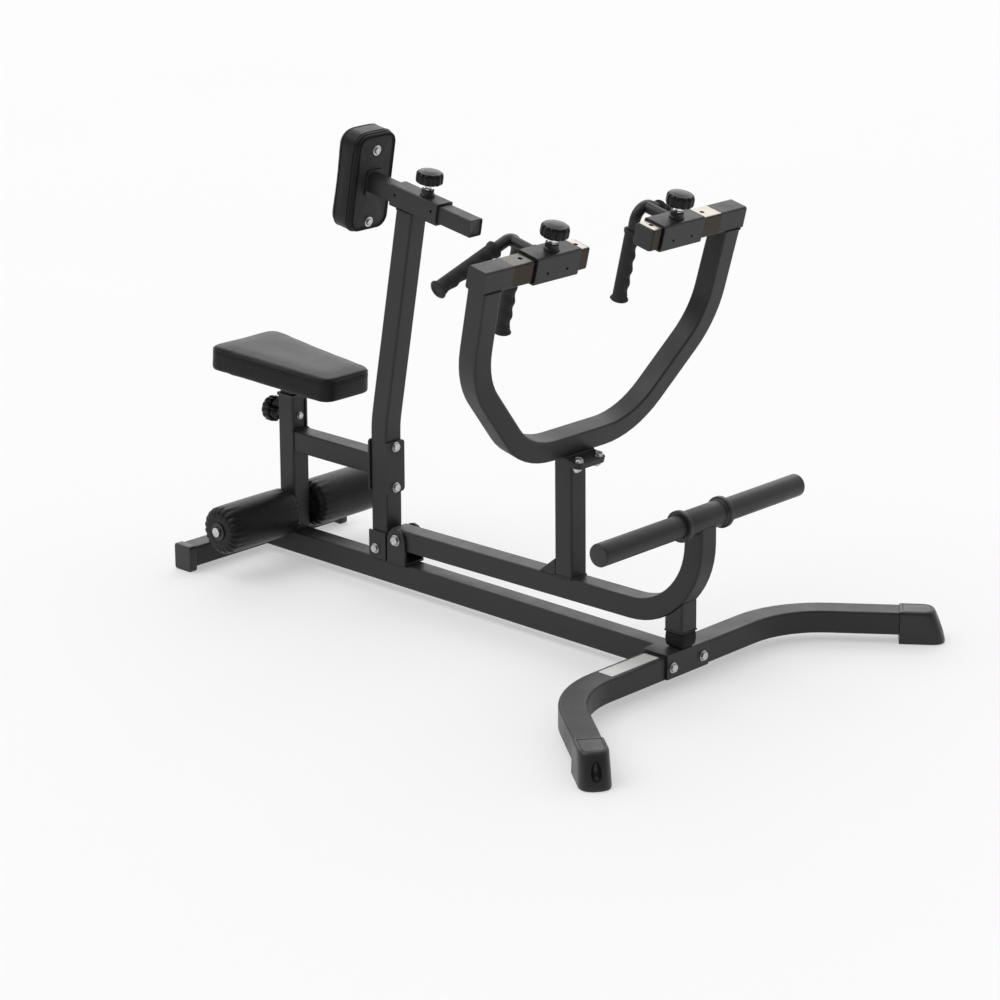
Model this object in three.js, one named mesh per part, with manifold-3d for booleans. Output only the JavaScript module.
// A plate-loaded seated row: a floor frame with a seat, knee rollers and a chest pad,
// and a hinged arm that carries a U-shaped yoke with sliding handles and a weight bar.
// Millimetres, +Z up. X runs from the seat (rear) to the weights (front), Y across.
// Right and left are the sitter's, who faces +X: right is -Y and left is +Y.
import * as THREE from "three";
import { mergeVertices } from "three/addons/utils/BufferGeometryUtils.js";
import Module from "manifold-3d";

const wasm = await Module();
wasm.setup();

const SIDES = { right: -1, left: 1 };
const deg = THREE.MathUtils.degToRad;

// ---------------------------------------------------------------- driving sizes
const GAP = 0.3; // between two pieces that touch or are welded
const TUBE = 50; // square frame tube
const WALL = 3; // tube wall
const CORNER = 5; // outer corner radius of a tube
const PLATE = 5; // bracket plate
const BOLT = 10; // bolt diameter
const BOLT_HEAD = 17; // across flats of a bolt head or nut

// floor frame
const BEAM_HEIGHT = 55;
const BEAM_BOTTOM = 18;
const FRONT_X = 897; // centre of the front stabiliser
const STABILISER_WIDTH = 60;
const STABILISER_HEIGHT = 52;
const STABILISER_BOTTOM = 20;
const STABILISER_RUN = 242; // half of its straight middle
const STABILISER_BEND = 52; // degrees, swept forward
const STABILISER_RADIUS = 230;
const STABILISER_LEG = 154;
const FOOT_LENGTH = 104;
const FOOT_WALL = 3; // how far a foot stands proud of its tube
const SADDLE_WIDTH = 136;
const SADDLE_BOLT_Y = 50;
const REAR_X = -400; // centre of the rear stabiliser
const REAR_LENGTH = 470;
const REAR_BOTTOM = 10;

// column and chest pad
const COLUMN_BEND_Z = 396; // where the column starts to lean
const COLUMN_LEAN = 10; // degrees, forward
const COLUMN_RADIUS = 260;
const CHEST_AXIS = 540; // from the bend to the chest slide, along the column
const COLUMN_BRACKET_HEIGHT = 65;
const CLAMP_BOTTOM = 232;
const CLAMP_HEIGHT = 123;
const CLAMP_BOLT_INSET = 13;
const SLEEVE_REAR = -48; // chest sleeve ends, from the column's axis
const SLEEVE_FRONT = 96;
const CHEST_SLIDE = 40; // square tube that slides in the sleeve
const SLIDE_REAR = -123;
const SLIDE_FRONT = 194;
const CHEST_PIN = 39;
const STRAP_HEIGHT = 96;
const STRAP_WIDTH = 40;
const BOARD_THICK = 12;
const CHEST_PAD_WIDTH = 114;
const CHEST_PAD_HEIGHT = 228;
const CHEST_PAD_THICK = 50;

// seat
const SEAT_POST_X = -284;
const SEAT_POST_TOP = 400;
const BRACE_Z = 295;
const SEAT_PIN_Z = 353;
const SLOT_BOTTOM = 319;
const SLOT_WIDTH = 34;
const SLIDE_BOTTOM = 170;
const SEAT_PLATE_Z = 433;
const SEAT_TILT = 3.5; // degrees, front down
const SEAT_LENGTH = 366;
const SEAT_REAR_WIDTH = 206;
const SEAT_FRONT_WIDTH = 142;
const SEAT_THICK = 56;
const SEAT_PAD_REAR = -178; // from the post's axis
const SEAT_CORNER = 28;
const ROLLER_X = -277;
const ROLLER_Z = 123;
const ROLLER_DIAMETER = 114;
const ROLLER_LENGTH = 221;
const ROLLER_INNER_Y = 31;
const AXLE = 22;

// swinging arm
const PIVOT_AHEAD = 34; // pivot, from the column's front face
const PIVOT_Z = 130.5;
const EAR_RADIUS = 28;
const EAR_GAP = 1.2; // from the arm's side to a pivot ear
const PIVOT_PIN = 12;
const PIVOT_HEAD = 19; // across flats
const ARM_RISE = 0.72; // degrees, front up, when it rests on its bumper
const ARM_TAIL = 18; // behind the pivot
const ARM_RADIUS = 177;
const BAR_Z = 231; // weight bar above the pivot, in the arm's frame
const BAR_DIAMETER = 50;
const BAR_LENGTH = 644;
const HUB_DIAMETER = 56;
const HUB_LENGTH = 108;
const COLLAR_DIAMETER = 68;
const STOP_AHEAD = 13; // stop post, from the middle of the front stabiliser
const STOP_ON_CURVE = 125; // stop post, from the start of the arm's curve
const STOP_BOTTOM = -27;

// yoke, in a frame whose origin is under the middle of its bottom tube
const YOKE_X = 514;
const YOKE_Z = 314;
const YOKE_TILT = 13.9; // degrees from the arm, top forward
const GUSSET_LENGTH = 46; // behind the post's foot
const GUSSET_HEIGHT = 38;
const FLANGE_LENGTH = 130;
const FLANGE_WIDTH = 96;
const FLANGE_PLATE = 6;
const FLANGE_BOLT_X = 51;
const FLANGE_BOLT_Y = 32;
const YOKE_RUN = 83; // half of its straight bottom
const YOKE_RADIUS = 200;
const YOKE_BEND = 48; // degrees, lower bend
const YOKE_SLOPE = 137; // straight between the bends
const YOKE_UPPER_BEND = 39;
const CROSS_Z = 481.5; // axis of the cross beams
const CROSS_OUTER = 414;
const CROSS_INNER = 104;
const PLUG_DEPTH = 22;
const PLUG_CAP = 3;

// handles
const SLEEVE_WALL = 4.7; // square sleeve that slides on a cross beam
const SLEEVE_LENGTH = 132;
const SLEEVE_Y = 199;
const ROD = 25;
const ROD_OFFSET = 97; // behind the cross beam's axis
const ROD_Y = 188; // the hanging leg
const ROD_BEND_Z = -16; // where the hanging leg ends, from the beam's axis
const ROD_RADIUS = 30;
const ROD_SLOPE = 22; // degrees below level, of the outer leg
const HANG_LEG = 186;
const SLOPE_LEG = 196;
const GRIP = 32;
const GRIP_FLANGE = 41;
const GRIP_LENGTH = 164;
const GRIP_GROOVES = 4;
const STUB_Y = 214;
const STUB_Z = 13;

// pull pins
const KNOB = 62;
const KNOB_HEIGHT = 29;
const KNOB_LIFT = 30; // from the tube's face to the underside of the knob
const PIN = 10;
const PIN_FIT = 0.5; // around the pin
const BOSS = 26;
const BOSS_HEIGHT = 15;

// ---------------------------------------------------------------- worked out
const BEAM_TOP = BEAM_BOTTOM + BEAM_HEIGHT;
const STABILISER_TOP = STABILISER_BOTTOM + STABILISER_HEIGHT;
const SADDLE_TOP = STABILISER_TOP + GAP + PLATE;
const SADDLE_REAR = FRONT_X - STABILISER_WIDTH / 2 - GAP - PLATE;
const BRACKET_TOP = BEAM_TOP + GAP + PLATE;
const SLEEVE = TUBE + 2 * (SLEEVE_WALL + GAP);
const PIVOT_X = TUBE + PIVOT_AHEAD;
const STOP_X = FRONT_X - PIVOT_X + STOP_AHEAD; // in the arm's frame
const ARM_RUN = STOP_X - STOP_ON_CURVE; // from the pivot to the start of the curve
const POST_BORE = TUBE - 2 * WALL;
const SEAT_SLIDE = POST_BORE - 2 * GAP;
const CLAMP_WIDTH = TUBE + 8;
const ROLLER_OUTER_Y = ROLLER_INNER_Y + ROLLER_LENGTH;

const PAINT = { color: 0x2b2b2d, roughness: 0.55, metalness: 0.35 };
const ZINC = { color: 0xb9bcc0, roughness: 0.3, metalness: 1 };
const PLASTIC = { color: 0x18181a, roughness: 0.45, metalness: 0 };
const RUBBER = { color: 0x141414, roughness: 0.8, metalness: 0 };
const VINYL = { color: 0x1c1c1d, roughness: 0.5, metalness: 0 };
const BOARD = { color: 0x5f4a34, roughness: 0.9, metalness: 0 };

// ---------------------------------------------------------------- solids
function solid(geometry) {
  const bare = geometry.index ? geometry.toNonIndexed() : geometry.clone();
  bare.deleteAttribute("normal");
  bare.deleteAttribute("uv");
  const merged = mergeVertices(bare, 1e-4);
  return new wasm.Manifold(
    new wasm.Mesh({
      numProp: 3,
      vertProperties: merged.attributes.position.array,
      triVerts: new Uint32Array(merged.index.array),
    }),
  );
}

function geometryOf(body) {
  const mesh = body.getMesh();
  const geometry = new THREE.BufferGeometry();
  const points = new THREE.BufferAttribute(mesh.vertProperties, 3);
  geometry.setAttribute("position", points);
  geometry.setIndex(new THREE.BufferAttribute(mesh.triVerts, 1));
  const flat = geometry.toNonIndexed();
  flat.computeVertexNormals();
  return flat;
}

function cut(body, ...tools) {
  return geometryOf(tools.reduce((rest, tool) => rest.subtract(solid(tool)), solid(body)));
}

function join(body, ...extras) {
  return geometryOf(extras.reduce((sum, extra) => sum.add(solid(extra)), solid(body)));
}

function common(body, other) {
  return geometryOf(solid(body).intersect(solid(other)));
}

// A box between two corners.
function block(x0, y0, z0, x1, y1, z1) {
  const box = new THREE.BoxGeometry(x1 - x0, y1 - y0, z1 - z0);
  return box.translate((x0 + x1) / 2, (y0 + y1) / 2, (z0 + z1) / 2);
}

// A cylinder about x, y or z, between two places on that axis.
function rod(axis, radius, from, to, sides = 24) {
  const bar = new THREE.CylinderGeometry(radius, radius, to - from, sides);
  bar.translate(0, (from + to) / 2, 0);
  if (axis === "x") bar.rotateZ(-Math.PI / 2);
  if (axis === "z") bar.rotateX(Math.PI / 2);
  return bar;
}

// A closed outline of radius and height pairs turned about z.
function turned(outline, sides = 32) {
  const points = outline.map(([r, z]) => new THREE.Vector2(r, z));
  points.push(points[0].clone());
  return new THREE.LatheGeometry(points, sides).rotateX(Math.PI / 2);
}

function rounded(width, height, radius) {
  const [w, h] = [width / 2, height / 2];
  const shape = new THREE.Shape();
  shape.moveTo(w, radius - h);
  shape.lineTo(w, h - radius);
  shape.absarc(w - radius, h - radius, radius, 0, Math.PI / 2, false);
  shape.absarc(radius - w, h - radius, radius, Math.PI / 2, Math.PI, false);
  shape.absarc(radius - w, radius - h, radius, Math.PI, 1.5 * Math.PI, false);
  shape.absarc(w - radius, radius - h, radius, 1.5 * Math.PI, 2 * Math.PI, false);
  return shape;
}

function tubeOutline(width, height, wall = WALL) {
  const shape = rounded(width, height, CORNER);
  const [w, h] = [width / 2 - wall, height / 2 - wall];
  const bore = new THREE.Path();
  bore.moveTo(-w, -h);
  bore.lineTo(-w, h);
  bore.lineTo(w, h);
  bore.lineTo(w, -h);
  bore.closePath();
  shape.holes.push(bore);
  return shape;
}

// A straight rectangular tube along x, y or z; across is its size beside z or, when
// it stands upright, along x.
function tube(axis, across, upright, from, to, wall = WALL) {
  const outline = axis === "x" ? tubeOutline(upright, across, wall) : tubeOutline(across, upright, wall);
  const options = { depth: to - from, bevelEnabled: false, curveSegments: 2 };
  const bar = new THREE.ExtrudeGeometry(outline, options).translate(0, 0, from);
  if (axis === "x") bar.rotateY(Math.PI / 2);
  if (axis === "y") bar.rotateX(-Math.PI / 2);
  return bar;
}

// A flat plate whose outline lies in the xy plane, between two heights.
function flat(outline, from, to, bevel = 0) {
  const options = {
    depth: to - from - 2 * bevel,
    bevelEnabled: bevel > 0,
    bevelSize: bevel,
    bevelOffset: -bevel,
    bevelThickness: bevel,
    bevelSegments: bevel > 4 ? 3 : 1,
    curveSegments: bevel > 4 ? 5 : 3,
  };
  return new THREE.ExtrudeGeometry(outline, options).translate(0, 0, from + bevel);
}

// A route of straight runs and round bends in one plane, spanned by two axes.
// One step covers a straight run and several steps cover a bend.
class BentRoute extends THREE.Curve {
  constructor(start, heading, axes, legs) {
    super();
    this.axes = axes;
    this.stations = [{ a: start[0], b: start[1], turn: deg(heading) }];
    for (const leg of legs) {
      const { a, b, turn } = this.stations.at(-1);
      if (leg.run) {
        const [da, db] = [Math.cos(turn) * leg.run, Math.sin(turn) * leg.run];
        this.stations.push({ a: a + da, b: b + db, turn });
        continue;
      }
      const steps = Math.max(3, Math.ceil(Math.abs(leg.bend) / 6));
      const side = Math.sign(leg.bend);
      const [ca, cb] = [a - side * Math.sin(turn) * leg.radius, b + side * Math.cos(turn) * leg.radius];
      for (let i = 1; i <= steps; i++) {
        const t = turn + (deg(leg.bend) * i) / steps;
        this.stations.push({
          a: ca + side * Math.sin(t) * leg.radius,
          b: cb - side * Math.cos(t) * leg.radius,
          turn: t,
        });
      }
    }
    this.steps = this.stations.length - 1;
  }

  place(a, b, target) {
    return target.set(0, 0, 0).addScaledVector(this.axes[0], a).addScaledVector(this.axes[1], b);
  }

  getPointAt(u, target = new THREE.Vector3()) {
    const { a, b } = this.stations[Math.round(u * this.steps)];
    return this.place(a, b, target);
  }

  getPoint(u, target) {
    return this.getPointAt(u, target);
  }

  getTangentAt(u, target = new THREE.Vector3()) {
    const { turn } = this.stations[Math.round(u * this.steps)];
    return this.place(Math.cos(turn), Math.sin(turn), target);
  }
}

const X = new THREE.Vector3(1, 0, 0);
const Y = new THREE.Vector3(0, 1, 0);
const Z = new THREE.Vector3(0, 0, 1);

function swept(outline, route) {
  const options = { steps: route.steps, extrudePath: route, curveSegments: 2, bevelEnabled: false };
  return new THREE.ExtrudeGeometry(outline, options);
}

function roundOutline(radius) {
  const shape = new THREE.Shape();
  const sides = 12;
  for (let i = 0; i < sides; i++) {
    const t = (2 * Math.PI * i) / sides;
    if (i === 0) shape.moveTo(radius, 0);
    else shape.lineTo(radius * Math.cos(t), radius * Math.sin(t));
  }
  shape.closePath();
  return shape;
}

// A hex bolt along an axis, with its head outside `head` and its nut outside `nut`.
function bolt(axis, head, nut, diameter = BOLT, flats = BOLT_HEAD) {
  const out = Math.sign(head - nut);
  const hex = flats / Math.sqrt(3);
  const headEnd = head + out * (GAP + diameter * 0.65);
  const nutEnd = nut - out * (GAP + diameter * 0.8);
  const span = (a, b) => [Math.min(a, b), Math.max(a, b)];
  return join(
    rod(axis, diameter / 2, ...span(headEnd, nutEnd), 12),
    rod(axis, hex, ...span(head + out * GAP, headEnd), 6),
    rod(axis, hex, ...span(nut - out * GAP, nutEnd), 6),
  );
}

function hole(axis, from, to, diameter = BOLT) {
  return rod(axis, diameter / 2 + GAP, from, to, 24);
}

const machine = new THREE.Group();

function piece(parent, name, geometry, finish, x = 0, y = 0, z = 0) {
  const mesh = new THREE.Mesh(geometry, new THREE.MeshStandardMaterial(finish));
  mesh.name = name;
  mesh.position.set(x, y, z);
  parent.add(mesh);
  return mesh;
}

// ---------------------------------------------------------------- pull pins
// Stands on z = 0, the face of the tube that it locks; the pin reaches down to depth.
function pullPin(depth) {
  const neck = BOSS_HEIGHT + 2;
  const top = KNOB_LIFT + KNOB_HEIGHT;
  return turned([
    [0, depth],
    [PIN / 2, depth],
    [PIN / 2, neck],
    [PIN / 2 + 3, neck],
    [PIN / 2 + 3, KNOB_LIFT],
    [KNOB / 2 - 4, KNOB_LIFT],
    [KNOB / 2, KNOB_LIFT + 4],
    [KNOB / 2, top - 6],
    [KNOB / 2 - 6, top],
    [0, top],
  ], 20);
}

// The threaded boss that a pull pin runs in, with a little root inside the wall.
function pinBoss() {
  return rod("z", BOSS / 2, -1, BOSS_HEIGHT, 16);
}

function pinBore(depth) {
  return rod("z", PIN / 2 + PIN_FIT, depth, BOSS_HEIGHT + 1, 16);
}

// ---------------------------------------------------------------- floor frame
function addBeam() {
  const beam = tube("x", TUBE, BEAM_HEIGHT, REAR_X + TUBE / 2 + GAP, SADDLE_REAR - GAP);
  piece(machine, "base_beam", beam, PAINT, 0, 0, BEAM_BOTTOM + BEAM_HEIGHT / 2);
}

function stabiliserRoute() {
  const { sin, cos } = Math;
  const bend = deg(STABILISER_BEND);
  const tipX = STABILISER_RADIUS * (1 - cos(bend)) + STABILISER_LEG * sin(bend);
  const tipY = STABILISER_RUN + STABILISER_RADIUS * sin(bend) + STABILISER_LEG * cos(bend);
  const route = new BentRoute([tipX, -tipY], 90 + STABILISER_BEND, [X, Y], [
    { run: STABILISER_LEG },
    { bend: -STABILISER_BEND, radius: STABILISER_RADIUS },
    { run: 2 * STABILISER_RUN },
    { bend: -STABILISER_BEND, radius: STABILISER_RADIUS },
    { run: STABILISER_LEG },
  ]);
  return { route, tipX, tipY };
}

function addFrontStabiliser() {
  const { route, tipX, tipY } = stabiliserRoute();
  const reach = STABILISER_WIDTH;
  const bar = cut(
    swept(tubeOutline(STABILISER_HEIGHT, STABILISER_WIDTH), route),
    ...Object.values(SIDES).map((s) => hole("x", -reach, reach).translate(0, s * SADDLE_BOLT_Y, 0)),
  );
  const middle = STABILISER_BOTTOM + STABILISER_HEIGHT / 2;
  piece(machine, "front_stabiliser", bar, PAINT, FRONT_X, 0, middle);
  for (const [side, s] of Object.entries(SIDES)) {
    const foot = piece(machine, `front_foot_${side}`, frontFoot(), PLASTIC, FRONT_X + tipX, s * tipY, 0);
    foot.rotation.z = s * deg(90 - STABILISER_BEND);
  }
}

// A moulded foot: a plug inside the tube and a nose that slopes down to the floor.
function frontFoot() {
  const top = STABILISER_TOP + FOOT_WALL;
  const half = STABILISER_WIDTH / 2 + FOOT_WALL;
  const side = new THREE.Shape();
  side.moveTo(GAP, 0);
  side.lineTo(FOOT_LENGTH - 8, 0);
  side.quadraticCurveTo(FOOT_LENGTH, 0, FOOT_LENGTH - 2, 10);
  side.lineTo(FOOT_LENGTH - 26, top - 8);
  side.quadraticCurveTo(FOOT_LENGTH - 29, top, FOOT_LENGTH - 38, top);
  side.lineTo(GAP, top);
  side.closePath();
  const plan = flat(rounded(FOOT_LENGTH + 20, 2 * half, 14), -1, top + 1).translate(FOOT_LENGTH / 2 - 10, 0, 0);
  const nose = common(flat(side, -half, half).rotateX(Math.PI / 2), plan);
  const inset = flat(rounded(FOOT_LENGTH - 52, 2 * half - 22, 8), top - 1.2, top + 5);
  const oval = new THREE.SphereGeometry(1, 16, 10).scale(22, 9, 20);
  const bore = WALL + GAP;
  const plug = block(
    -30,
    bore - STABILISER_WIDTH / 2,
    STABILISER_BOTTOM + bore,
    10,
    STABILISER_WIDTH / 2 - bore,
    STABILISER_TOP - bore,
  );
  const shell = cut(
    nose,
    inset.translate(FOOT_LENGTH / 2 - 16, 0, 0),
    oval.translate(FOOT_LENGTH - 10, 0, top * 0.48),
  );
  return join(shell, plug);
}

function addSaddle() {
  const inner = STABILISER_WIDTH / 2 + GAP;
  const outer = inner + PLATE;
  const half = SADDLE_WIDTH / 2;
  const bottom = STABILISER_BOTTOM + 2;
  const saddle = cut(
    block(-outer, -half, bottom, outer, half, SADDLE_TOP),
    block(-inner, -half - 1, bottom - 1, inner, half + 1, SADDLE_TOP - PLATE),
    ...Object.values(SIDES).map((s) =>
      hole("x", -outer - 1, outer + 1).translate(0, s * SADDLE_BOLT_Y, STABILISER_BOTTOM + STABILISER_HEIGHT / 2),
    ),
  );
  piece(machine, "front_saddle", saddle, PAINT, FRONT_X, 0, 0);
  for (const [side, s] of Object.entries(SIDES)) {
    const middle = STABILISER_BOTTOM + STABILISER_HEIGHT / 2;
    piece(machine, `saddle_bolt_${side}`, bolt("x", outer, -outer), ZINC, FRONT_X, s * SADDLE_BOLT_Y, middle);
  }
}

function addRearStabiliser() {
  const half = REAR_LENGTH / 2;
  const middle = REAR_BOTTOM + TUBE / 2;
  piece(machine, "rear_stabiliser", tube("y", TUBE, TUBE, -half, half), PAINT, REAR_X, 0, middle);
  for (const [side, s] of Object.entries(SIDES)) {
    const outline = rounded(TUBE + 2 * FOOT_WALL, TUBE + REAR_BOTTOM + FOOT_WALL, 7);
    const cap = flat(outline, GAP, 22, 2).translate(0, (FOOT_WALL - REAR_BOTTOM) / 2, 0);
    const bore = TUBE / 2 - WALL - GAP;
    const foot = join(cap, block(-bore, -bore, -24, bore, bore, 6));
    foot.rotateX(Math.PI / 2);
    if (s > 0) foot.rotateZ(Math.PI);
    piece(machine, `rear_foot_${side}`, foot, PLASTIC, REAR_X, s * half, middle);
  }
}

// ---------------------------------------------------------------- column
function addColumn() {
  const start = BRACKET_TOP + GAP;
  const lean = deg(COLUMN_LEAN);
  const tangent = COLUMN_RADIUS * Math.tan(lean / 2);
  const route = new BentRoute([0, start], 90, [X, Z], [
    { run: COLUMN_BEND_Z - tangent - start },
    { bend: -COLUMN_LEAN, radius: COLUMN_RADIUS },
    { run: CHEST_AXIS - tangent - TUBE / 2 - GAP },
  ]);
  const across = TUBE;
  const column = cut(
    swept(tubeOutline(TUBE, TUBE), route),
    hole("y", -across, across).translate(-8, 0, columnBoltZ),
    ...clampBoltHeights.map((z) => hole("x", -across, across).translate(0, 0, z)),
  );
  piece(machine, "column", column, PAINT, TUBE / 2, 0, 0);
}

const columnBoltZ = BRACKET_TOP + 18;
const clampBoltHeights = [CLAMP_BOTTOM + CLAMP_BOLT_INSET, CLAMP_BOTTOM + CLAMP_HEIGHT - CLAMP_BOLT_INSET];

function addColumnBracket() {
  const inner = TUBE / 2 + GAP;
  const outer = inner + PLATE;
  const base = BEAM_TOP + GAP;
  const top = base + COLUMN_BRACKET_HEIGHT;
  const bracket = cut(
    block(-4, -outer, base, TUBE - 1, outer, top),
    block(-5, -inner, BRACKET_TOP, TUBE, inner, top + 1),
    hole("y", -outer - 1, outer + 1).translate(TUBE / 2 - 8, 0, columnBoltZ),
  );
  piece(machine, "column_bracket", bracket, PAINT);
  piece(machine, "column_bolt", bolt("y", -outer, outer), ZINC, TUBE / 2 - 8, 0, columnBoltZ);
}

function clampPlate() {
  const plate = flat(rounded(CLAMP_WIDTH, CLAMP_HEIGHT, 8), 0, PLATE).rotateX(Math.PI / 2).rotateZ(Math.PI / 2);
  return plate.translate(0, 0, CLAMP_BOTTOM + CLAMP_HEIGHT / 2);
}

function addClamp() {
  const holes = clampBoltHeights.map((z) => hole("x", -PLATE - 2, PLATE + 2).translate(0, 0, z));
  piece(machine, "clamp_plate", cut(clampPlate(), ...holes), PAINT, TUBE + GAP, 0, 0);
  const bolts = ["lower", "upper"];
  clampBoltHeights.forEach((z, i) => {
    const shank = bolt("x", TUBE + GAP + PLATE, -GAP - PLATE);
    piece(machine, `clamp_bolt_${bolts[i]}`, shank, ZINC, 0, 0, z);
  });
}

// The tube from the seat post, with the plate on its end that bolts to the column.
function addSeatBrace() {
  const front = -GAP - PLATE;
  const rear = SEAT_POST_X + TUBE / 2 + GAP;
  const holes = clampBoltHeights.map((z) => hole("x", -PLATE - 2, PLATE + 2).translate(0, 0, z));
  const plate = cut(clampPlate(), ...holes).translate(front, 0, 0);
  const bar = tube("x", TUBE, TUBE, rear, front + 1).translate(0, 0, BRACE_Z);
  piece(machine, "seat_brace", join(plate, bar), PAINT);
}

// ---------------------------------------------------------------- seat
function addSeatPost() {
  const base = BEAM_TOP + GAP;
  const half = TUBE / 2;
  const pin = pinBore(-WALL - 1).rotateY(-Math.PI / 2).translate(-half, 0, SEAT_PIN_Z);
  const boss = pinBoss().rotateY(-Math.PI / 2).translate(-half, 0, SEAT_PIN_Z);
  const slot = block(half - WALL - 1, -SLOT_WIDTH / 2, SLOT_BOTTOM, half + 1, SLOT_WIDTH / 2, SEAT_POST_TOP - 8);
  const post = cut(
    join(tube("z", TUBE, TUBE, base, SEAT_POST_TOP), boss),
    pin,
    slot,
    rod("y", AXLE / 2 + GAP, -half - 1, half + 1).translate(ROLLER_X - SEAT_POST_X, 0, ROLLER_Z),
  );
  piece(machine, "seat_post", post, PAINT, SEAT_POST_X, 0, 0);
}

// A plastic collar in the mouth of the post, which the seat slide runs through.
function addSeatBush() {
  const lip = SEAT_POST_TOP + GAP;
  const bush = cut(
    flat(rounded(TUBE + 6, TUBE + 6, 6), lip, lip + 6),
    block(-SEAT_SLIDE / 2 - GAP, -SEAT_SLIDE / 2 - GAP, lip - 1, SEAT_SLIDE / 2 + GAP, SEAT_SLIDE / 2 + GAP, lip + 7),
  );
  piece(machine, "seat_bush", bush, PLASTIC, SEAT_POST_X, 0, 0);
}

function seatOutline(grow = 0) {
  const [rear, front] = [SEAT_REAR_WIDTH / 2 + grow, SEAT_FRONT_WIDTH / 2 + grow];
  const [x0, x1] = [SEAT_PAD_REAR - grow, SEAT_PAD_REAR + SEAT_LENGTH + grow];
  const corner = SEAT_CORNER;
  const slope = (rear - front) / (x1 - x0);
  const shape = new THREE.Shape();
  shape.moveTo(x0, 0);
  shape.lineTo(x0, corner - rear);
  shape.quadraticCurveTo(x0, -rear, x0 + corner, slope * corner - rear);
  shape.lineTo(x1 - corner, -front - slope * corner);
  shape.quadraticCurveTo(x1, -front, x1, corner - front);
  shape.lineTo(x1, front - corner);
  shape.quadraticCurveTo(x1, front, x1 - corner, front + slope * corner);
  shape.lineTo(x0 + corner, rear - slope * corner);
  shape.quadraticCurveTo(x0, rear, x0, rear - corner);
  shape.closePath();
  return shape;
}

function addSeat() {
  const tilt = deg(SEAT_TILT);
  const seat = new THREE.Group();
  seat.position.set(SEAT_POST_X, 0, SEAT_PLATE_Z);
  seat.rotation.y = tilt;
  machine.add(seat);
  const plate = flat(rounded(190, 90, 12), GAP, GAP + PLATE);
  piece(seat, "seat_plate", plate, PAINT);
  const board = GAP + PLATE + GAP;
  piece(seat, "seat_pad", flat(seatOutline(), board, board + SEAT_THICK, 12), VINYL);
  const above = block(-90, -90, 0, 90, 90, 90).rotateY(tilt).translate(0, 0, SEAT_PLATE_Z);
  const bar = cut(tube("z", SEAT_SLIDE, SEAT_SLIDE, SLIDE_BOTTOM, SEAT_PLATE_Z + 20), above);
  piece(machine, "seat_slide", bar, PAINT, SEAT_POST_X, 0, 0);
  const pin = pullPin(-WALL + GAP);
  pin.rotateY(-Math.PI / 2);
  piece(machine, "seat_pin", pin, PLASTIC, SEAT_POST_X - TUBE / 2, 0, SEAT_PIN_Z);
}

function addRollers() {
  const end = ROLLER_OUTER_Y + 8;
  piece(machine, "roller_axle", rod("y", AXLE / 2, -end, end), ZINC, ROLLER_X, 0, ROLLER_Z);
  for (const [side, s] of Object.entries(SIDES)) {
    const [bore, skin] = [AXLE / 2 + 2 * GAP, ROLLER_DIAMETER / 2];
    const [inner, outer] = [ROLLER_INNER_Y, ROLLER_OUTER_Y];
    const cover = turned([
      [bore, inner],
      [skin - 10, inner],
      [skin, inner + 10],
      [skin, outer - 10],
      [skin - 10, outer],
      [bore, outer],
    ], 24);
    cover.rotateX(s > 0 ? -Math.PI / 2 : Math.PI / 2);
    piece(machine, `knee_roller_${side}`, cover, VINYL, ROLLER_X, 0, ROLLER_Z);
  }
}

// ---------------------------------------------------------------- chest pad
function chestFrame() {
  const lean = deg(COLUMN_LEAN);
  const chest = new THREE.Group();
  chest.position.set(
    TUBE / 2 + Math.sin(lean) * CHEST_AXIS,
    0,
    COLUMN_BEND_Z + Math.cos(lean) * CHEST_AXIS,
  );
  chest.rotation.y = lean;
  machine.add(chest);
  return chest;
}

function addChestPad() {
  const chest = chestFrame();
  const half = TUBE / 2;
  const wall = half - CHEST_SLIDE / 2 - GAP;
  const boss = pinBoss().translate(CHEST_PIN, 0, half);
  const screws = [SLEEVE_REAR + 14, SLEEVE_FRONT - 17].map((u) => hole("y", -half - 1, 0, 6).translate(u, 0, 4));
  const sleeve = cut(
    join(tube("x", TUBE, TUBE, SLEEVE_REAR, SLEEVE_FRONT, wall), boss),
    pinBore(-wall - 1).translate(CHEST_PIN, 0, half),
    ...screws,
  );
  piece(chest, "chest_sleeve", sleeve, PAINT);
  piece(chest, "chest_pin", pullPin(-wall + GAP), PLASTIC, CHEST_PIN, 0, half);
  piece(chest, "chest_slide", tube("x", CHEST_SLIDE, CHEST_SLIDE, SLIDE_REAR, SLIDE_FRONT), PAINT);

  const upright = (outline, from, to, bevel) => flat(outline, from, to, bevel).rotateZ(Math.PI / 2).rotateY(-Math.PI / 2);
  const strapFace = -SLIDE_REAR + GAP;
  const boardFace = strapFace + PLATE + GAP;
  const padFace = boardFace + BOARD_THICK + GAP;
  const strap = upright(rounded(STRAP_WIDTH, STRAP_HEIGHT, 12), strapFace, strapFace + PLATE, 0);
  piece(chest, "chest_strap", strap, PAINT);
  const board = rounded(CHEST_PAD_WIDTH - 10, CHEST_PAD_HEIGHT - 10, 26);
  piece(chest, "chest_board", upright(board, boardFace, boardFace + BOARD_THICK, 0), BOARD);
  const pad = rounded(CHEST_PAD_WIDTH, CHEST_PAD_HEIGHT, 30);
  piece(chest, "chest_pad", upright(pad, padFace, padFace + CHEST_PAD_THICK, 12), VINYL);
}

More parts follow.
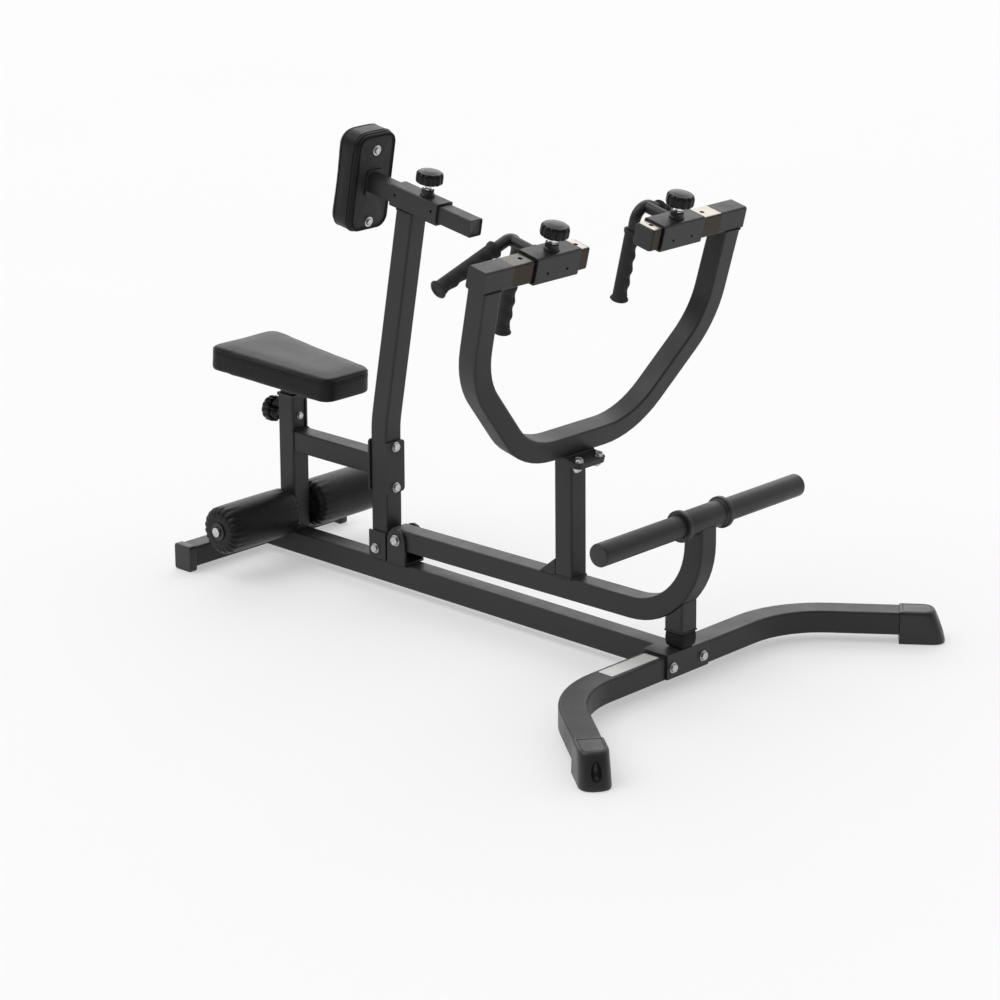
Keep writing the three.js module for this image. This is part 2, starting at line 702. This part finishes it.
// ---------------------------------------------------------------- swinging arm
function addPivot() {
  const inner = TUBE / 2 + EAR_GAP;
  const outer = inner + PLATE;
  const base = BEAM_TOP + GAP;
  const ear = new THREE.Shape();
  ear.moveTo(EAR_RADIUS, 0);
  ear.absarc(0, 0, EAR_RADIUS, 0, Math.PI, false);
  ear.lineTo(-EAR_RADIUS, base - PIVOT_Z);
  ear.lineTo(EAR_RADIUS, base - PIVOT_Z);
  ear.closePath();
  const bracket = cut(
    flat(ear, -outer, outer).rotateX(Math.PI / 2),
    block(-EAR_RADIUS - 1, -inner, BRACKET_TOP - PIVOT_Z, EAR_RADIUS + 1, inner, EAR_RADIUS + 1),
    hole("y", -outer - 1, outer + 1, PIVOT_PIN),
  );
  piece(machine, "pivot_bracket", bracket, PAINT, PIVOT_X, 0, PIVOT_Z);
  piece(machine, "pivot_bolt", bolt("y", -outer, outer, PIVOT_PIN, PIVOT_HEAD), ZINC, PIVOT_X, 0, PIVOT_Z);
}

function armFrame() {
  const arm = new THREE.Group();
  arm.position.set(PIVOT_X, 0, PIVOT_Z);
  arm.rotation.y = -deg(ARM_RISE);
  machine.add(arm);
  return arm;
}

const BUSH = PIVOT_PIN + 8;

function addArm(arm) {
  const route = new BentRoute([-ARM_TAIL, 0], 0, [X, Z], [
    { run: ARM_TAIL + ARM_RUN },
    { bend: 90, radius: ARM_RADIUS },
    { run: BAR_Z - ARM_RADIUS },
  ]);
  const barX = ARM_RUN + ARM_RADIUS;
  const bar = cut(
    swept(tubeOutline(TUBE, TUBE), route),
    rod("y", HUB_DIAMETER / 2 + GAP, -TUBE, TUBE, 40).translate(barX, 0, BAR_Z),
    hole("y", -TUBE, TUBE, BUSH),
  );
  piece(arm, "swing_arm", bar, PAINT);
  const half = TUBE / 2 + EAR_GAP - GAP;
  const bore = PIVOT_PIN / 2 + GAP;
  const bush = turned([[bore, -half], [BUSH / 2, -half], [BUSH / 2, half], [bore, half]], 24);
  piece(arm, "pivot_bush", bush.rotateX(Math.PI / 2), ZINC);
}

function addStop(arm) {
  const half = TUBE / 2;
  const { cos, sin, asin } = Math;
  const under = ARM_RADIUS + half + GAP;
  const curve = rod("y", under, -TUBE, TUBE, 160).translate(ARM_RUN, 0, ARM_RADIUS);
  const top = ARM_RADIUS - under * cos(asin((STOP_X + half - ARM_RUN) / under));
  const post = cut(tube("z", TUBE, TUBE, STOP_BOTTOM, top + 20).translate(STOP_X, 0, 0), curve);
  piece(arm, "stop_post", post, PAINT);
  // The bumper's foot sits flat on the saddle, so it is square to the floor frame.
  const rise = deg(ARM_RISE);
  const floor = SADDLE_TOP + GAP - PIVOT_Z - sin(rise) * STOP_X;
  const foot = block(-TUBE, -TUBE, -TUBE, TUBE, TUBE, 0).rotateY(rise).translate(STOP_X, 0, floor);
  const outline = rounded(TUBE, TUBE, 9);
  const rubber = cut(flat(outline, floor - 6, STOP_BOTTOM - GAP, 4).translate(STOP_X, 0, 0), foot);
  piece(arm, "stop_bumper", rubber, RUBBER);
}

function addWeightBar(arm) {
  const bar = new THREE.Group();
  bar.position.set(ARM_RUN + ARM_RADIUS, 0, BAR_Z);
  arm.add(bar);
  const [radius, reach] = [BAR_DIAMETER / 2, BAR_LENGTH / 2];
  const ring = (outline) => turned(outline, 32).rotateX(-Math.PI / 2);
  const shaft = [[radius - WALL, -reach], [radius, -reach], [radius, reach], [radius - WALL, reach]];
  piece(bar, "weight_bar", ring(shaft), PAINT);
  const [bore, hub, end] = [radius + GAP, HUB_DIAMETER / 2, HUB_LENGTH / 2];
  piece(bar, "bar_hub", ring([[bore, -end], [hub, -end], [hub, end], [bore, end]]), PAINT);
  for (const [side, s] of Object.entries(SIDES)) {
    const lip = COLLAR_DIAMETER / 2;
    const at = end + GAP;
    const collar = turned([
      [bore, at],
      [lip - 4, at],
      [lip - 4, at + 6],
      [lip, at + 8],
      [lip, at + 16],
      [lip - 2, at + 18],
      [bore, at + 18],
    ], 32);
    collar.rotateX(s > 0 ? -Math.PI / 2 : Math.PI / 2);
    piece(bar, `bar_collar_${side}`, collar, PAINT);
  }
}

// ---------------------------------------------------------------- yoke
function flangePlate() {
  const holes = [];
  for (const x of [-FLANGE_BOLT_X, FLANGE_BOLT_X])
    for (const y of [-FLANGE_BOLT_Y, FLANGE_BOLT_Y]) holes.push(hole("z", -1, FLANGE_PLATE + 1).translate(x, y, 0));
  return cut(flat(rounded(FLANGE_LENGTH, FLANGE_WIDTH, 14), 0, FLANGE_PLATE), ...holes);
}

function addYoke(arm) {
  const yoke = new THREE.Group();
  yoke.position.set(YOKE_X, 0, YOKE_Z);
  yoke.rotation.y = deg(YOKE_TILT);
  arm.add(yoke);
  const upper = -GAP - FLANGE_PLATE;
  const lower = upper - GAP - FLANGE_PLATE;
  piece(yoke, "yoke_flange", flangePlate().translate(0, 0, upper), PAINT);
  piece(yoke, "post_flange", flangePlate().translate(0, 0, lower), PAINT);

  const above = block(-TUBE, -TUBE, lower - GAP, TUBE, TUBE, TUBE * 2).rotateY(deg(YOKE_TILT));
  above.translate(YOKE_X, 0, YOKE_Z);
  const foot = TUBE / 2 + GAP;
  const post = cut(tube("z", TUBE, TUBE, foot, YOKE_Z + 20).translate(YOKE_X - 3, 0, 0), above);
  const gusset = new THREE.Shape();
  gusset.moveTo(1, 0);
  gusset.lineTo(-GUSSET_LENGTH, 0);
  gusset.lineTo(1, GUSSET_HEIGHT);
  gusset.closePath();
  const web = flat(gusset, -TUBE / 2, TUBE / 2).rotateX(Math.PI / 2).translate(YOKE_X - 3 - TUBE / 2, 0, foot);
  piece(arm, "arm_post", join(post, web), PAINT);

  const lean = YOKE_BEND + YOKE_UPPER_BEND;
  const climb = climbOfArm();
  const underBeam = CROSS_Z - TUBE / 2 - GAP;
  const top = (underBeam + TUBE / 6 - TUBE / 2 - climb.z) / Math.sin(deg(lean));
  const reach = YOKE_RUN + climb.y + top * Math.cos(deg(lean));
  const legs = [
    { run: top },
    { bend: YOKE_UPPER_BEND, radius: YOKE_RADIUS },
    { run: YOKE_SLOPE },
    { bend: YOKE_BEND, radius: YOKE_RADIUS },
  ];
  const rise = climb.z + top * Math.sin(deg(lean));
  const start = [-reach, TUBE / 2 + rise];
  const route = new BentRoute(start, -lean, [Y, Z], [...legs, { run: 2 * YOKE_RUN }, ...legs.toReversed()]);
  const ceiling = block(-TUBE, -CROSS_OUTER - 50, underBeam, TUBE, CROSS_OUTER + 50, CROSS_Z + TUBE);
  piece(yoke, "yoke", cut(swept(tubeOutline(TUBE, TUBE), route), ceiling), PAINT);
  addCrossBeams(yoke);
  for (const [side, s] of Object.entries(SIDES)) addHandle(yoke, side, s);
}

// How far the yoke's bends and slope carry it out and up, from the end of its bottom run.
function climbOfArm() {
  const [first, both] = [deg(YOKE_BEND), deg(YOKE_BEND + YOKE_UPPER_BEND)];
  const { sin, cos } = Math;
  return {
    y: YOKE_RADIUS * sin(both) + YOKE_SLOPE * cos(first),
    z: YOKE_RADIUS * (1 - cos(both)) + YOKE_SLOPE * sin(first),
  };
}

function addCrossBeams(yoke) {
  for (const [side, s] of Object.entries(SIDES)) {
    const [from, to] = [s * CROSS_INNER, s * CROSS_OUTER].sort((a, b) => a - b);
    const stops = [SLEEVE_Y + SLEEVE_LENGTH / 2 + 24, CROSS_INNER + 16];
    const inside = TUBE / 2 - WALL + 0.5;
    const lid = block(-inside, -WALL, -inside, inside, 0, inside);
    const beam = cut(
      join(tube("y", TUBE, TUBE, from, to), s > 0 ? lid.translate(0, to, 0) : lid.translate(0, from + WALL, 0)),
      ...stops.map((y) => hole("z", 0, TUBE).translate(0, s * y, 0)),
    );
    piece(yoke, `cross_beam_${side}`, beam, PAINT, 0, 0, CROSS_Z);
    const bore = TUBE / 2 - WALL - GAP;
    const cap = flat(rounded(TUBE - 1, TUBE - 1, CORNER), GAP, PLUG_CAP + GAP, 1);
    const plug = join(cap, block(-bore, -bore, -PLUG_DEPTH, bore, bore, 1));
    plug.rotateX(s > 0 ? Math.PI / 2 : -Math.PI / 2);
    piece(yoke, `beam_plug_${side}`, plug, PLASTIC, 0, s * CROSS_INNER, CROSS_Z);
  }
}

// A sleeve on a cross beam, with the bent rod behind it that carries two grips.
function addHandle(yoke, side, s) {
  const handle = new THREE.Group();
  handle.position.set(0, 0, CROSS_Z);
  yoke.add(handle);
  const half = SLEEVE / 2;
  const [from, to] = [SLEEVE_Y - SLEEVE_LENGTH / 2, SLEEVE_Y + SLEEVE_LENGTH / 2];
  const at = [s * from, s * to].sort((a, b) => a - b);
  const boss = pinBoss().translate(0, s * SLEEVE_Y, half);
  const screws = [-30, 30].map((y) => hole("x", 0, half + 1, 6).translate(0, s * (SLEEVE_Y + y), -8));
  const sleeve = cut(
    join(tube("y", SLEEVE, SLEEVE, ...at, SLEEVE_WALL), boss),
    pinBore(-SLEEVE_WALL - 1).translate(0, s * SLEEVE_Y, half),
    ...screws,
  );
  piece(handle, `handle_sleeve_${side}`, sleeve, PAINT);
  piece(handle, `handle_pin_${side}`, pullPin(-SLEEVE_WALL + GAP), PLASTIC, 0, s * SLEEVE_Y, half);

  const turn = 90 + ROD_SLOPE;
  const across = Y.clone().multiplyScalar(s);
  const route = new BentRoute([ROD_Y, ROD_BEND_Z - HANG_LEG], 90, [across, Z], [
    { run: HANG_LEG },
    { bend: -turn, radius: ROD_RADIUS },
    { run: SLOPE_LEG },
  ]);
  const bar = swept(roundOutline(ROD / 2), route).translate(-ROD_OFFSET, 0, 0);
  const stub = rod("x", ROD / 2, -ROD_OFFSET, -half - GAP, 12).translate(0, s * STUB_Y, STUB_Z);
  piece(handle, `handle_rod_${side}`, join(bar, stub), PAINT);

  const hanging = piece(handle, `hanging_grip_${side}`, grip(), RUBBER, -ROD_OFFSET, s * ROD_Y, ROD_BEND_Z - HANG_LEG);
  hanging.rotation.y = Math.PI;
  const tip = route.stations.at(-1);
  const sloping = piece(handle, `sloping_grip_${side}`, grip(), RUBBER, -ROD_OFFSET, s * tip.a, tip.b);
  sloping.rotation.x = -s * deg(90 + ROD_SLOPE);
}

// A moulded rubber grip on the end of a rod: z = 0 is the rod's end, and the grip runs
// back over the rod below it, with finger grooves and a flange at each end.
function grip() {
  const [bore, skin, lip] = [ROD / 2 + GAP, GRIP / 2, GRIP_FLANGE / 2];
  const outline = [[bore, GAP], [0, GAP], [0, 4], [lip - 1, 4], [lip, 2], [lip, -2], [skin, -4]];
  const length = GRIP_LENGTH - 16;
  const steps = GRIP_GROOVES * 2;
  for (let i = 1; i < steps; i++) {
    const wave = 0.8 * (1 - Math.cos((2 * Math.PI * GRIP_GROOVES * i) / steps));
    outline.push([skin - wave, -4 - (length * i) / steps]);
  }
  outline.push([skin, -4 - length]);
  outline.push([lip - 1, 4 - GRIP_LENGTH]);
  outline.push([lip - 1, -GRIP_LENGTH]);
  outline.push([bore, -GRIP_LENGTH]);
  return turned(outline.reverse(), 12);
}

addBeam();
addFrontStabiliser();
addSaddle();
addRearStabiliser();
addColumn();
addColumnBracket();
addClamp();
addSeatBrace();
addSeatPost();
addSeatBush();
addSeat();
addRollers();
addChestPad();
addPivot();
const arm = armFrame();
addArm(arm);
addStop(arm);
addWeightBar(arm);
addYoke(arm);

// The origin is on the floor, midway between the rearmost and foremost points.
machine.updateMatrixWorld(true);
const extent = new THREE.Box3().setFromObject(machine, true);
machine.position.x = -(extent.min.x + extent.max.x) / 2;
machine.updateMatrixWorld(true);

export default machine;
